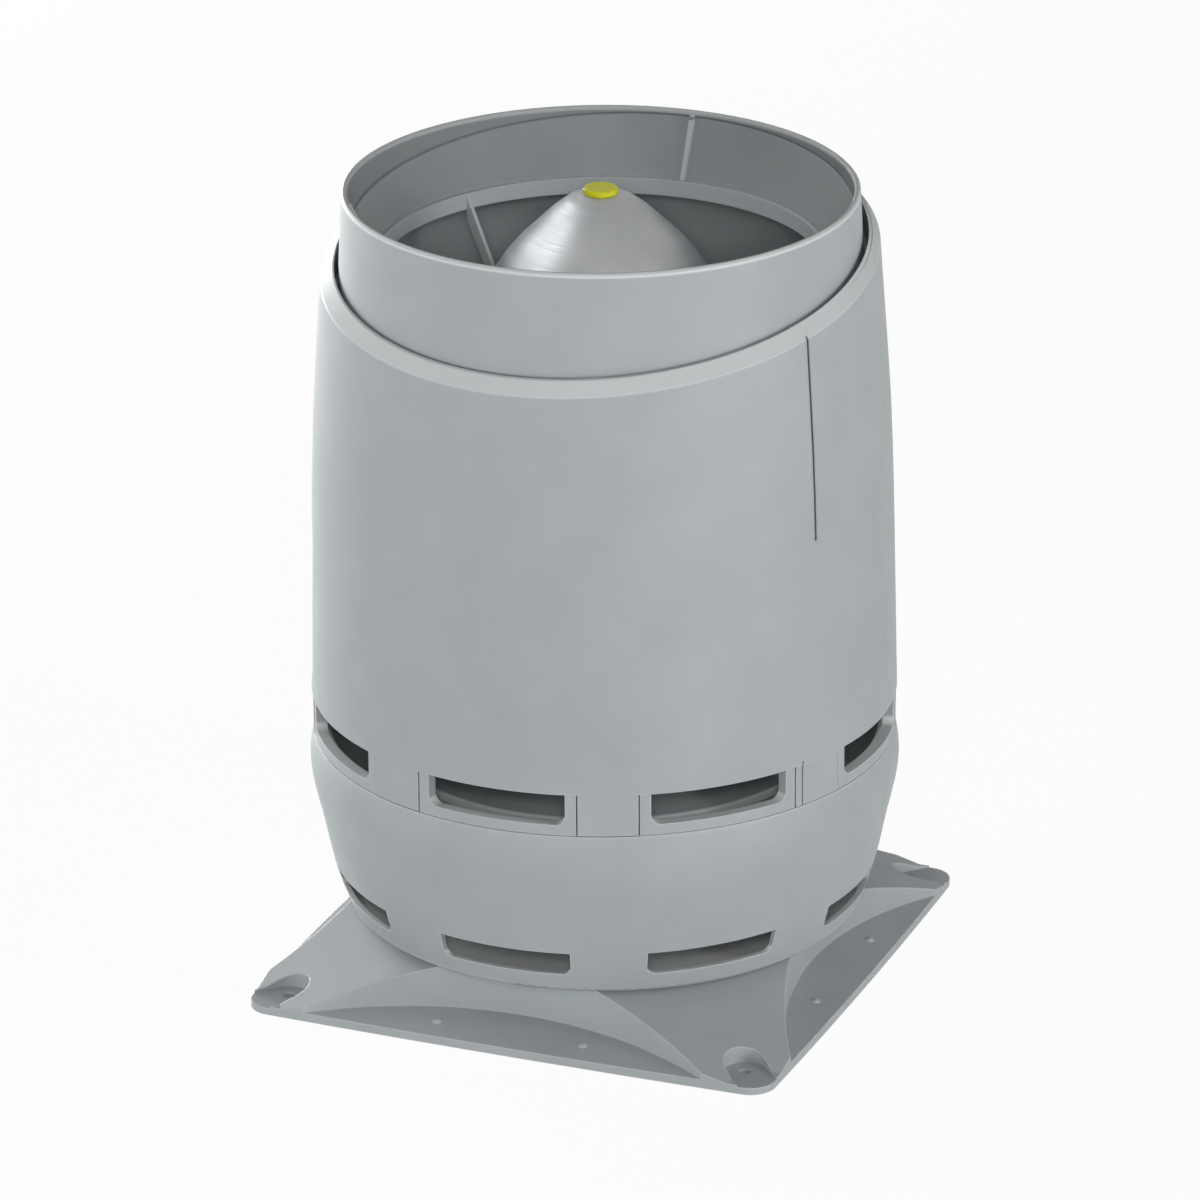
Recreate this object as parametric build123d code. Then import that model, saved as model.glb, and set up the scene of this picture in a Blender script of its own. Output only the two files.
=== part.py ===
from build123d import *
from math import cos, degrees, radians, sin, sqrt
import os

# Roof exhaust vent: a square roof plate, a slotted bowl, a barrel hood with an oblique
# shoulder, an outlet collar and a rain cone on three vanes. Sizes in mm, +Z up, origin
# in the middle of the plate's underside. An azimuth is counted from -Y towards +X.

# Roof plate.
BASE_SIDE = 300.0
BASE_EDGE = 5.0            # height of the plate's outer rim
BASE_SKIN = 3.0            # moulded wall
BASE_CORNER_R = 14.0
SIDE_BOW = 2.0             # the four sides swell outwards by this much at mid length
FLANGE_SLOPE = 0.15        # rise per mm of the flat fields inside the rim
SCOOP_DEPTH = 30.0         # how far the side scoops reach in from the side
SCOOP_REACH = 113.0        # half width of a scoop where it meets the side
FACET_FOOT = 0.928         # where a corner facet starts, as a share of the half diagonal
PLATEAU_Z = 36.0           # level top that carries the bowl
PLATEAU_REACH = 110.7      # where that top meets the facets, from the axis
POCKET_R = 11.5            # screw pocket in each corner
POCKET_FLOOR = 4.0
HOLE_R = 3.2               # roof screw hole
HOLE_INSET = 18.5          # hole centre from the two sides
RIB = 2.4

# Pipe and its socket.
PIPE_R = 80.0              # 160 mm duct
PIPE_WALL = 3.0
PIPE_FOOT = 12.0           # pipe stands on a ledge at this height
PIPE_BELOW_CONE = 21.0     # free height between the pipe's end and the cone's rim
SOCKET_GAP = 4.0           # room for the lip seal
SOCKET_WALL = 3.5
SOCKET_TOP = 62.0
LEDGE = 4.0                # thickness of the ledge under the pipe
FIT = 0.3                  # clearance between neighbouring round faces

# Bowl.
SKIN = 3.2                 # wall of the bowl and of the hood
BOWL_EDGE_R = 140.5        # bowl's lower edge
BOWL_EDGE_ROUND = 2.5
BOWL_R = 159.3             # widest place
BOWL_WIDE_Z = 119.0
BAND_Z = 133.0             # top of the bowl, foot of the window ring
HOOD_FOOT = 157.0          # lower edge of the hood, top of the band's openings
BAND_R = 157.0
SPIGOT_TOP = 170.0         # the window ring's spigot that stands inside the hood
BAYS = 8
WINDOW_ARC = 28.5          # degrees
WINDOW_SILL = 139.3
WINDOW_CORNER = 5.5
TONGUE_ARC = 11.6
SEAM = 0.8                 # open line round the tongues
LOCATOR = 5.0              # lip of the window ring inside the bowl's top
DRAIN_Z0 = 47.5
DRAIN_Z1 = 61.4
DRAIN_ARC = 29.0
DRAIN_CORNER = 4.5
FLOOR_T = 3.5

# Hood.
HOOD_FOOT_R = 158.0
HOOD_MID_R = 156.2
HOOD_TOP_R = 147.6
SHOULDER_BELOW_RIM = 31.9  # height of the oblique shoulder on the axis
SHOULDER_TILT = 0.1729     # rise per mm towards +Y
SHOULDER_BEVEL = 6.2       # slanted face from the shoulder's flat to the barrel's wall
SHOULDER_ROUND = 1.4
LIP_IN = 141.2             # sleeve under the shoulder, round the collar
LIP_OUT = 143.4
LIP_DROP = 16.0
GROOVE_AZ = 67.5           # upright parting groove on the hood
GROOVE_DROP = 11.5         # its upper end, below the shoulder's height on the axis
GROOVE_LENGTH = 114.5
GROOVE_W = 1.5
GROOVE_DEEP = 1.6
SLIT_AZ = 67.5             # the tongue with a second slit
SLIT_OFF = 4.2             # degrees from the middle of that tongue
SLIT_W = 1.1
TONGUE_IN = HOOD_FOOT_R - SKIN - 1.0
BED_R = TONGUE_IN - FIT      # what the hood's tongues and its foot stand round
BAND_IN = BAND_R - SKIN - 3.0
COLLAR_SCREWS = 6
COLLAR_SCREW_R = 1.6
STOP_T = 2.5               # flange of the collar under the lip

# Outlet collar with its oblique funnel.
RIM_Z = 437.8
RIM_R = 136.9
RIM_WALL = 3.3
COLLAR_TAPER = 0.046       # the collar grows by this much per mm downwards
FUNNEL_R = 118.8           # lower, level edge
FUNNEL_BELOW_RIM = 34.8
FUNNEL_T = 2.5
LINE_BELOW_RIM = 18.3      # upper, oblique edge on the axis
FUNNEL_TILT = 0.112
RIB_IN = 117.0             # the three upright ribs reach in to this radius at the bottom
RIB_TOP_IN = 132.3
RIB_T = 2.6

# Cone, its carrier and cap.
RING_R = 116.0             # inner face of the carrier's ring
RING_WALL = 2.5
RING_DROP = 9.0
VANE_T = 2.0
CONE_RIM_R = 79.5
CONE_H = 91.6
CONE_TOP_R = 9.6
CONE_SKIN = 2.0
HUB_R = 12.0
CAP_R = 9.3
CAP_H = 3.2
BOLT_R = 2.5
BOLT_L = 30.0
BOLT_HEAD_R = 5.2
BOLT_HEAD_H = 1.8
RING_FLANGE = 2.5
RING_SCREW_AT = 123.8
RING_SCREW_R = 1.5

# Drip skirt on the pipe.
SKIRT_R = 121.0
SKIRT_RIM_Z = 123.0
SKIRT_TOP_Z = 176.0
SKIRT_T = 2.6
SKIRT_SCREW_Z = 169.0
SCREW_R = 2.0
SCREW_RING = 100.0         # screws between the bowl and the plate

# Heights that follow from the rim's.
SHOULDER_Z = RIM_Z - SHOULDER_BELOW_RIM
HOOD_MID_Z = HOOD_FOOT + 0.333 * (SHOULDER_Z - HOOD_FOOT)
GROOVE_Z1 = SHOULDER_Z - GROOVE_DROP
GROOVE_Z0 = GROOVE_Z1 - GROOVE_LENGTH
FUNNEL_Z = RIM_Z - FUNNEL_BELOW_RIM
FUNNEL_LINE_Z = RIM_Z - LINE_BELOW_RIM
CONE_TOP_Z = RIM_Z - CAP_H
CONE_RIM_Z = CONE_TOP_Z - CONE_H
PIPE_TOP = CONE_RIM_Z - PIPE_BELOW_CONE
LOW = SHOULDER_Z - 90      # working range for what is cut by the oblique planes
HIGH = RIM_Z + 30

BIG = 900.0


def turned(points):
    """Solid of revolution about Z from a closed chain of (radius, height) points."""
    chain = [(r, 0, z) for r, z in points]
    return revolve(Face(Wire.make_polygon(chain, close=True)), Axis.Z)


def tube(r_in, r_out, z0, z1):
    return turned([(r_in, z0), (r_out, z0), (r_out, z1), (r_in, z1)])


def around(shape, azimuth):
    """Turns a feature that was built towards -Y to its azimuth."""
    return Rotation(0, 0, azimuth) * shape


def sector(r_in, r_out, z0, z1, arc):
    """Piece of a tube, centred on azimuth 0."""
    chain = [(r_in, 0, z0), (r_out, 0, z0), (r_out, 0, z1), (r_in, 0, z1)]
    piece = revolve(Face(Wire.make_polygon(chain, close=True)), Axis.Z, arc)
    return Rotation(0, 0, -90 - arc / 2) * piece


def rounded_sector(r_in, r_out, z0, z1, arc, radius):
    """The same with its two lower corners rounded."""
    piece = sector(r_in, r_out, z0, z1, arc)
    low = [e for e in piece.edges().filter_by(GeomType.LINE)
           if abs(e.center().Z - z0) < 0.01]
    return fillet(low, radius)


def below(origin, normal):
    """Everything under a plane, as a large block."""
    return Plane(origin=origin, z_dir=normal) * Pos(0, 0, -BIG / 2) * Box(BIG, BIG, BIG)


def oblique(height, tilt):
    """Everything under the plane that rises towards +Y."""
    return below((0, 0, height), (0, -tilt, 1))


def rod(r, z0, z1, x=0.0, y=0.0):
    return Pos(x, y, (z0 + z1) / 2) * Cylinder(r, z1 - z0)


def at(radius, azimuth):
    return radius * sin(radians(azimuth)), -radius * cos(radians(azimuth))


# Roof plate, its form.
HALF = BASE_SIDE / 2
CORNER = HALF - HOLE_INSET
FOOT_RHO = HALF * sqrt(2) * FACET_FOOT
FACET_SLOPE = (PLATEAU_Z - BASE_EDGE) / (FOOT_RHO - PLATEAU_REACH)
SCOOP_R = (SCOOP_REACH ** 2 + SCOOP_DEPTH ** 2) / (2 * SCOOP_DEPTH)


def plate_outline(inset):
    h = HALF - inset
    b = SIDE_BOW
    sides = [ThreePointArc((-h, -h), (0, -h - b), (h, -h)),
             ThreePointArc((h, -h), (h + b, 0), (h, h)),
             ThreePointArc((h, h), (0, h + b), (-h, h)),
             ThreePointArc((-h, h), (-h - b, 0), (-h, -h))]
    face = Face(Wire(sides))
    return fillet(face.vertices(), BASE_CORNER_R - inset)


def base_form(inset):
    """The plate's outer form moved inwards by one wall thickness."""
    block = extrude(plate_outline(inset), PLATEAU_Z - inset)
    fields = block
    star = block
    for k in range(4):
        fields &= around(below((0, -HALF, BASE_EDGE - inset), (0, -FLANGE_SLOPE, 1)), 90 * k)
        star -= around(rod(SCOOP_R + inset, -1, PLATEAU_Z + 1, 0,
                           -HALF + SCOOP_DEPTH - SCOOP_R), 90 * k)
        facet = below((0, -FOOT_RHO, BASE_EDGE - inset), (0, -FACET_SLOPE, 1))
        star &= around(facet, 90 * k + 45)
    return fields + star


def base_plate():
    body = base_form(0) - Pos(0, 0, -0.001) * base_form(BASE_SKIN)
    room = base_form(BASE_SKIN / 2)
    socket_r = PIPE_R + SOCKET_GAP
    for k in range(8):
        rib = Pos(0, -HALF / 2 - 30, PLATEAU_Z / 2) * Box(RIB, HALF + 60, PLATEAU_Z)
        body += around(rib, 45 * k) & room
    for k in range(4):
        x, y = at(CORNER * sqrt(2), 45 + 90 * k)
        body += rod(POCKET_R + BASE_SKIN, 0, PLATEAU_Z, x, y) & base_form(0)
        x, y = at(SCREW_RING, 45 + 90 * k)
        body += rod(5.0, 14, PLATEAU_Z - 1, x, y)
    body += tube(socket_r - 1, socket_r + SOCKET_WALL, 0, SOCKET_TOP)
    body -= rod(socket_r, -1, SOCKET_TOP + 1)
    body += tube(PIPE_R - PIPE_WALL / 2, socket_r + 1, PIPE_FOOT - LEDGE, PIPE_FOOT)
    for k in range(4):
        x, y = at(CORNER * sqrt(2), 45 + 90 * k)
        body -= rod(POCKET_R, POCKET_FLOOR, PLATEAU_Z, x, y)
        channel = Pos(0, -CORNER * sqrt(2) - 25, POCKET_FLOOR + 25) * Box(2 * POCKET_R, 50, 50)
        body -= around(channel, 45 + 90 * k)
        body -= rod(HOLE_R, -1, POCKET_FLOOR + 1, x, y)
        x, y = at(SCREW_RING, 45 + 90 * k)
        body -= rod(SCREW_R + FIT, 20, PLATEAU_Z + 1, x, y)
        for side in (-1, 1):
            mark = Pos(side * 42, -HALF + 12, BASE_EDGE + 12 * FLANGE_SLOPE - 1.4) * Sphere(2.8)
            body += around(mark, 90 * k) - base_form(BASE_SKIN / 2)
    return body


# Bowl.
def bowl_curve(inset):
    """Outer side of the bowl from its lower edge to its widest place."""
    low = (BOWL_EDGE_R - inset, 0, PLATEAU_Z + BOWL_EDGE_ROUND)
    knee = (BOWL_EDGE_R + 0.40 * (BOWL_R - BOWL_EDGE_R) - inset, 0, 61.0)
    mid = (BOWL_EDGE_R + 0.73 * (BOWL_R - BOWL_EDGE_R) - inset, 0, 90.0)
    wide = (BOWL_R - inset, 0, BOWL_WIDE_Z)
    return Spline(low, knee, mid, wide, tangents=[(0.42, 0, 1), (0, 0, 1)])


def bowl_wall():
    outer = bowl_curve(0)
    inner = bowl_curve(SKIN)
    shoulder = ThreePointArc((BOWL_R, 0, BOWL_WIDE_Z), (BOWL_R - 0.7, 0, 126.6),
                             (BAND_R, 0, BAND_Z))
    path = [(BAND_R, BAND_Z), (BAND_IN, BAND_Z), (BAND_IN, BAND_Z - 3), (BOWL_R - SKIN, BOWL_WIDE_Z)]
    upper = [Line((a[0], 0, a[1]), (b[0], 0, b[1])) for a, b in zip(path, path[1:])]
    edge = BOWL_EDGE_ROUND
    foot = [(BOWL_EDGE_R - SKIN, PLATEAU_Z + edge), (BOWL_EDGE_R - SKIN - 3, PLATEAU_Z + FLOOR_T),
            (96.0, PLATEAU_Z + FLOOR_T), (96.0, PLATEAU_Z), (BOWL_EDGE_R - edge, PLATEAU_Z)]
    lower = [Line((a[0], 0, a[1]), (b[0], 0, b[1])) for a, b in zip(foot, foot[1:])]
    lower.append(ThreePointArc((BOWL_EDGE_R - edge, 0, PLATEAU_Z),
                               (BOWL_EDGE_R - 0.3 * edge, 0, PLATEAU_Z + 0.3 * edge),
                               (BOWL_EDGE_R, 0, PLATEAU_Z + edge)))
    return revolve(Face(Wire([outer, shoulder] + upper + [inner] + lower)), Axis.Z)


def lower_bowl():
    hub_in = PIPE_R + SOCKET_GAP + SOCKET_WALL + FIT
    body = bowl_wall() + tube(hub_in, 97.0, PLATEAU_Z, PLATEAU_Z + FLOOR_T)
    body += tube(hub_in, hub_in + 2.5, PLATEAU_Z, SOCKET_TOP - 8)
    for k in range(BAYS):
        drain = rounded_sector(125, 170, DRAIN_Z0, DRAIN_Z1, DRAIN_ARC, DRAIN_CORNER)
        body -= around(drain, 360 / BAYS * k)
    for k in range(4):
        x, y = at(SCREW_RING, 45 + 90 * k)
        body -= rod(SCREW_R + FIT, PLATEAU_Z - 1, PLATEAU_Z + FLOOR_T + 1, x, y)
    return body


# Window ring between bowl and hood.
def window_ring():
    """Ring of eight windows, with a lip down into the bowl and a spigot up into the hood."""
    lip_in = BAND_IN - FIT - 2.2
    body = turned([(lip_in, BAND_Z - LOCATOR), (BAND_IN - FIT, BAND_Z - LOCATOR), (BAND_IN - FIT, BAND_Z),
                   (BAND_R, BAND_Z), (BAND_R, HOOD_FOOT), (BED_R, HOOD_FOOT), (BED_R, SPIGOT_TOP),
                   (BAND_IN, SPIGOT_TOP), (BAND_IN, BAND_Z + 2.5), (lip_in, BAND_Z + 2.5)])
    pitch = 360 / BAYS
    seat_arc = TONGUE_ARC + 2 * degrees(SEAM / BAND_R)
    for k in range(BAYS):
        window = rounded_sector(120, 170, WINDOW_SILL, HOOD_FOOT, WINDOW_ARC, WINDOW_CORNER)
        body -= around(window, pitch * k)
        body -= around(sector(BED_R, 170, BAND_Z - 1, HOOD_FOOT + 1, seat_arc), pitch * (k + 0.5))
    return body - tube(BAND_R - 0.9, 170, BAND_Z, BAND_Z + SEAM)


# Hood.
def barrel(inset, z0, z1):
    """Barrel form between two heights, moved inwards by a wall thickness."""
    curve = Spline((HOOD_FOOT_R - inset, 0, z0), (HOOD_MID_R - inset, 0, HOOD_MID_Z),
                   (HOOD_MID_R - 0.33 * (HOOD_MID_R - HOOD_TOP_R) - inset, 0,
                    (HOOD_MID_Z + SHOULDER_Z) / 2),
                   (HOOD_TOP_R - inset, 0, SHOULDER_Z), (HOOD_TOP_R - 2.6 - inset, 0, z1))
    rest = [Line((HOOD_TOP_R - 2.6 - inset, 0, z1), (0, 0, z1)), Line((0, 0, z1), (0, 0, z0)),
            Line((0, 0, z0), (HOOD_FOOT_R - inset, 0, z0))]
    return revolve(Face(Wire([curve] + rest)), Axis.Z)


def shouldered(inset, z0, drop, bevel):
    """The barrel cut by the oblique plane, with a slanted face round its upper edge."""
    form = barrel(inset, z0, HIGH) & oblique(SHOULDER_Z - drop, SHOULDER_TILT)
    rim = form.edges().sort_by(Axis.Z)[-1]
    form = chamfer(rim, bevel)
    edges = form.edges().filter_by(GeomType.LINE, reverse=True)
    turn = [e for e in edges if e.center().Z > LOW and e.length > 4 * HOOD_TOP_R]
    turn = sorted(turn, key=lambda e: e.center().Z)[0]
    return fillet(turn, SHOULDER_ROUND)


def upper_hood():
    body = shouldered(0, HOOD_FOOT, 0, SHOULDER_BEVEL)
    body -= shouldered(SKIN, HOOD_FOOT - 1, SKIN, SHOULDER_BEVEL - 0.4 * SKIN)
    body += (tube(LIP_IN, LIP_OUT, LOW, HIGH) & oblique(SHOULDER_Z - SKIN / 2, SHOULDER_TILT)
             ) - oblique(SHOULDER_Z - LIP_DROP, SHOULDER_TILT)
    body -= rod(LIP_IN, LOW, HIGH)
    for k in range(COLLAR_SCREWS):
        body -= collar_bore(30 + 360 / COLLAR_SCREWS * k)
    slab = Pos(0, -HOOD_FOOT_R, (GROOVE_Z0 + GROOVE_Z1) / 2) * Box(GROOVE_W, 50, GROOVE_LENGTH)
    body -= around(slab, GROOVE_AZ) - barrel(GROOVE_DEEP, HOOD_FOOT, HIGH)
    pitch = 360 / BAYS
    for k in range(BAYS):
        tongue = sector(TONGUE_IN, BAND_R + 0.4, BAND_Z + SEAM, HOOD_FOOT + 2, TONGUE_ARC)
        body += around(tongue, pitch * (k + 0.5))
    slit = sector(BAND_R - 1.2, 170, BAND_Z, HOOD_FOOT + 2, degrees(SLIT_W / BAND_R))
    return body - around(slit, SLIT_AZ - SLIT_OFF)


# Outlet collar.
def collar_r(z):
    return RIM_R + (RIM_Z - z) * COLLAR_TAPER


def collar_height(azimuth):
    return SHOULDER_Z + SHOULDER_TILT * at(LIP_IN, azimuth)[1] - 0.6 * LIP_DROP


def collar_bore(azimuth):
    """Radial hole for a collar screw, through the lip and the collar."""
    bore = Pos(0, -(RIM_R + LIP_OUT) / 2 + 1.5, collar_height(azimuth)) * Rotation(90, 0, 0) * Cylinder(
        COLLAR_SCREW_R + FIT, 11)
    return around(bore, azimuth)


def funnel_form(r_low, z_low, r_high, z_high):
    """Solid between a level circle and an oblique ring on the collar's wall."""
    low = Plane.XY.offset(z_low) * Circle(r_low)
    high = Plane(origin=(0, 0, z_high), z_dir=(0, -FUNNEL_TILT, 1), x_dir=(1, 0, 0)) * Ellipse(
        r_high, r_high * sqrt(1 + FUNNEL_TILT ** 2))
    return loft([low.face(), high.face()], ruled=True)


def funnel_rib():
    """Thin upright web from the collar's wall, standing on the funnel."""
    web = [(RIB_IN, 0, FUNNEL_Z + FIT), (RIB_TOP_IN, 0, RIM_Z - 2), (RIM_R - 1.5, 0, RIM_Z - 2),
           (RIM_R - 1.5, 0, FUNNEL_Z + 4), (FUNNEL_R + 2, 0, FUNNEL_Z + FIT)]
    plate = extrude(Face(Wire.make_polygon(web, close=True)), RIB_T / 2, both=True)
    return Rotation(0, 0, -90) * plate


def outlet_collar():
    foot = SHOULDER_Z - 50
    body = turned([(collar_r(foot) - RIM_WALL, foot), (collar_r(foot), foot),
                   (RIM_R, RIM_Z - 1.2), (RIM_R - 1.2, RIM_Z),
                   (RIM_R - RIM_WALL + 1.0, RIM_Z), (RIM_R - RIM_WALL, RIM_Z - 1.0)])
    body -= oblique(SHOULDER_Z - LIP_DROP - STOP_T, SHOULDER_TILT)
    stop = tube(collar_r(SHOULDER_Z) - RIM_WALL + 1, LIP_OUT, LOW, HIGH)
    stop &= oblique(SHOULDER_Z - LIP_DROP, SHOULDER_TILT)
    body += stop - oblique(SHOULDER_Z - LIP_DROP - STOP_T, SHOULDER_TILT)
    wall = RIM_R - RIM_WALL
    dish = funnel_form(FUNNEL_R + 2.5, FUNNEL_Z - FUNNEL_T, wall + 1.6, FUNNEL_LINE_Z - 0.6)
    dish -= funnel_form(FUNNEL_R, FUNNEL_Z, wall + 0.2, FUNNEL_LINE_Z)
    dish -= rod(FUNNEL_R, FUNNEL_Z - 20, FUNNEL_Z + 1)
    body += dish
    for k in range(3):
        body += around(funnel_rib(), 60 + 120 * k)
        x, y = at(RING_SCREW_AT, 60 + 120 * k)
        body -= rod(RING_SCREW_R + FIT, FUNNEL_Z - 5, FUNNEL_Z - 0.3, x, y)
    for k in range(COLLAR_SCREWS):
        body -= collar_bore(30 + 360 / COLLAR_SCREWS * k)
    return body


def collar_screws():
    """Radial screws from inside the collar into the hood's lip."""
    out = []
    for k in range(COLLAR_SCREWS):
        azimuth = 30 + 360 / COLLAR_SCREWS * k
        z = collar_height(azimuth)
        inner = collar_r(z) - RIM_WALL
        shank = Pos(0, -(inner + LIP_OUT) / 2, z) * Rotation(90, 0, 0) * Cylinder(
            COLLAR_SCREW_R, LIP_OUT - inner + 1.0)
        head = Pos(0, -inner + 1.1, z) * Rotation(90, 0, 0) * Cylinder(2 * COLLAR_SCREW_R, 1.8)
        out.append(around(shank + head, azimuth))
    return out


# Cone carrier, cone and cap.
def carrier_z():
    return FUNNEL_Z - FUNNEL_T


def vane():
    """Web from the ring down to the cone's rim and on to the hub."""
    rim_out = CONE_RIM_R + 2.5
    web = [(RING_R + 0.5, 0, FUNNEL_Z - 0.8), (RING_R + 0.5, 0, FUNNEL_Z - RING_DROP - 6),
           (CONE_RIM_R - 6, 0, CONE_RIM_Z - 16), (HUB_R - 2, 0, CONE_RIM_Z - 16), (HUB_R - 2, 0, CONE_RIM_Z),
           (rim_out, 0, CONE_RIM_Z), (rim_out, 0, CONE_RIM_Z + 6)]
    plate = extrude(Face(Wire.make_polygon(web, close=True)), VANE_T / 2, both=True)
    return Rotation(0, 0, -90) * plate


def cone_carrier():
    top = carrier_z()
    ring = tube(RING_R, RING_R + RING_WALL - FIT / 2, FUNNEL_Z - RING_DROP, FUNNEL_Z)
    flange = tube(RING_R + 1, FUNNEL_R + 8.2, top - RING_FLANGE, top)
    hub = rod(HUB_R, CONE_RIM_Z - 16, CONE_TOP_Z - 12)
    hub += rod(CONE_TOP_R - 1.5, CONE_TOP_Z - 13, CONE_TOP_Z - CONE_SKIN)
    body = ring + flange + hub
    for k in range(3):
        body += around(vane(), 120 * k)
    body -= rod(BOLT_R + FIT, CONE_TOP_Z - BOLT_L, CONE_TOP_Z + 5)
    for k in range(3):
        x, y = at(RING_SCREW_AT, 60 + 120 * k)
        body -= rod(RING_SCREW_R + FIT, top - RING_FLANGE - 1, top + 1, x, y)
    return body


def bell(shift):
    """Bell curve of the cone, moved inwards by the skin."""
    top = CONE_TOP_Z - shift
    lean = 0.75 * shift
    return Spline((CONE_TOP_R, 0, top), (18 - 0.4 * shift, 0, top - 3.2), (26 - 0.5 * shift, 0, top - 9.5),
                  (0.52 * CONE_RIM_R - lean, 0, CONE_TOP_Z - 0.266 * CONE_H - 0.6 * shift),
                  (0.69 * CONE_RIM_R - lean, 0, CONE_TOP_Z - 0.434 * CONE_H - 0.6 * shift),
                  (0.87 * CONE_RIM_R - 0.85 * shift, 0, CONE_TOP_Z - 0.68 * CONE_H - 0.4 * shift),
                  (CONE_RIM_R - shift, 0, CONE_RIM_Z), tangents=[(1, 0, -0.1), (0.24, 0, -1)])


def rain_cone():
    outer = bell(0)
    inner = bell(CONE_SKIN)
    bore = BOLT_R + FIT
    top = CONE_TOP_Z
    ends = [Line((CONE_TOP_R, 0, top), (bore, 0, top)), Line((bore, 0, top), (bore, 0, top - CONE_SKIN)),
            Line((bore, 0, top - CONE_SKIN), (CONE_TOP_R, 0, top - CONE_SKIN)),
            Line((CONE_RIM_R, 0, CONE_RIM_Z), (CONE_RIM_R - CONE_SKIN, 0, CONE_RIM_Z))]
    return revolve(Face(Wire([outer, inner] + ends)), Axis.Z)


def cone_bolt():
    shank = rod(BOLT_R, CONE_TOP_Z - BOLT_L + 2, CONE_TOP_Z)
    head = Pos(0, 0, CONE_TOP_Z) * extrude(RegularPolygon(BOLT_HEAD_R, 6), BOLT_HEAD_H)
    return shank + head


def cone_cap():
    z0 = CONE_TOP_Z
    z1 = CONE_TOP_Z + CAP_H
    shell = turned([(0, z0), (CAP_R, z0), (CAP_R, z1 - 0.9), (CAP_R - 0.9, z1), (0, z1)])
    return shell - rod(BOLT_HEAD_R + FIT, z0 - 1, z0 + BOLT_HEAD_H + 0.2)


# Pipe, seal and drip skirt.
def skirt_bore(azimuth):
    bore = Pos(0, -PIPE_R, SKIRT_SCREW_Z) * Rotation(90, 0, 0) * Cylinder(SCREW_R + FIT, 16)
    return around(bore, azimuth)


def exhaust_pipe():
    body = tube(PIPE_R - PIPE_WALL, PIPE_R, PIPE_FOOT, PIPE_TOP)
    for k in range(4):
        body -= skirt_bore(22.5 + 90 * k)
    return body


def drip_skirt():
    r0 = PIPE_R + FIT
    r1 = r0 + SKIRT_T
    rim = SKIRT_RIM_Z
    fall = (SKIRT_R - r1) * 0.85
    body = turned([(r0, SKIRT_TOP_Z), (r1, SKIRT_TOP_Z), (r1, rim + 4.5 + fall), (SKIRT_R - 0.8, rim + 4.5),
                   (SKIRT_R, rim + 3.6), (SKIRT_R, rim), (SKIRT_R - 3.2, rim), (SKIRT_R - 3.2, rim + 2.2),
                   (r0, rim + 2.2 + fall)])
    for k in range(4):
        body -= skirt_bore(22.5 + 90 * k)
    return body


def skirt_screws():
    out = []
    for k in range(4):
        face = PIPE_R + FIT + SKIRT_T
        length = face - PIPE_R + PIPE_WALL - FIT
        shank = Pos(0, -face + length / 2, SKIRT_SCREW_Z) * Rotation(90, 0, 0) * Cylinder(
            SCREW_R, length)
        head = Pos(0, -face - 1.2, SKIRT_SCREW_Z) * Rotation(90, 0, 0) * Cylinder(2 * SCREW_R, 2.4)
        out.append(around(shank + head, 22.5 + 90 * k))
    return out


def pipe_seal():
    """Rubber ring that closes the socket and laps over its upper edge."""
    r0 = PIPE_R + FIT
    r1 = PIPE_R + SOCKET_GAP - FIT
    r2 = PIPE_R + SOCKET_GAP + SOCKET_WALL
    top = SOCKET_TOP
    return turned([(r0, top - 12), (r1, top - 12), (r1, top), (r2, top), (r2, top + 2.0),
                   (r0 + 1.5, top + 3.5), (r0, top + 3.5)])


# Screws.
def pan_screw(r, length, x, y, z, up=1):
    """Upright screw whose head lies on height z, thread downwards for up=1."""
    shank = rod(r, min(z, z - up * length), max(z, z - up * length), x, y)
    head = rod(2 * r, min(z, z + up * r * 1.2), max(z, z + up * r * 1.2), x, y)
    return shank + head


def bowl_screws():
    return [pan_screw(SCREW_R, 15, *at(SCREW_RING, 45 + 90 * k), PLATEAU_Z + FLOOR_T)
            for k in range(4)]


def carrier_screws():
    seat = carrier_z() - RING_FLANGE
    return [pan_screw(RING_SCREW_R, RING_FLANGE + 1.8, *at(RING_SCREW_AT, 60 + 120 * k), seat, up=-1)
            for k in range(3)]


PIECES = {
    "base_plate": base_plate,
    "exhaust_pipe": exhaust_pipe,
    "pipe_seal": pipe_seal,
    "drip_skirt": drip_skirt,
    "skirt_screws": skirt_screws,
    "lower_bowl": lower_bowl,
    "window_ring": window_ring,
    "bowl_screws": bowl_screws,
    "upper_hood": upper_hood,
    "outlet_collar": outlet_collar,
    "collar_screws": collar_screws,
    "cone_carrier": cone_carrier,
    "carrier_screws": carrier_screws,
    "rain_cone": rain_cone,
    "cone_bolt": cone_bolt,
    "cone_cap": cone_cap,
}

if __name__ == "__main__":
    os.makedirs("parts", exist_ok=True)
    for name, make in PIECES.items():
        shape = make()
        if isinstance(shape, list):
            shape = Compound(children=[s.solids()[0] for s in shape])
        export_step(shape, f"parts/{name}.step")
        print(name, round(shape.volume), "mm3,", len(shape.solids()), "solid(s)")
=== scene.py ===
import bpy
from math import cos, pi, radians, sin
from mathutils import Matrix, Vector


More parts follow.
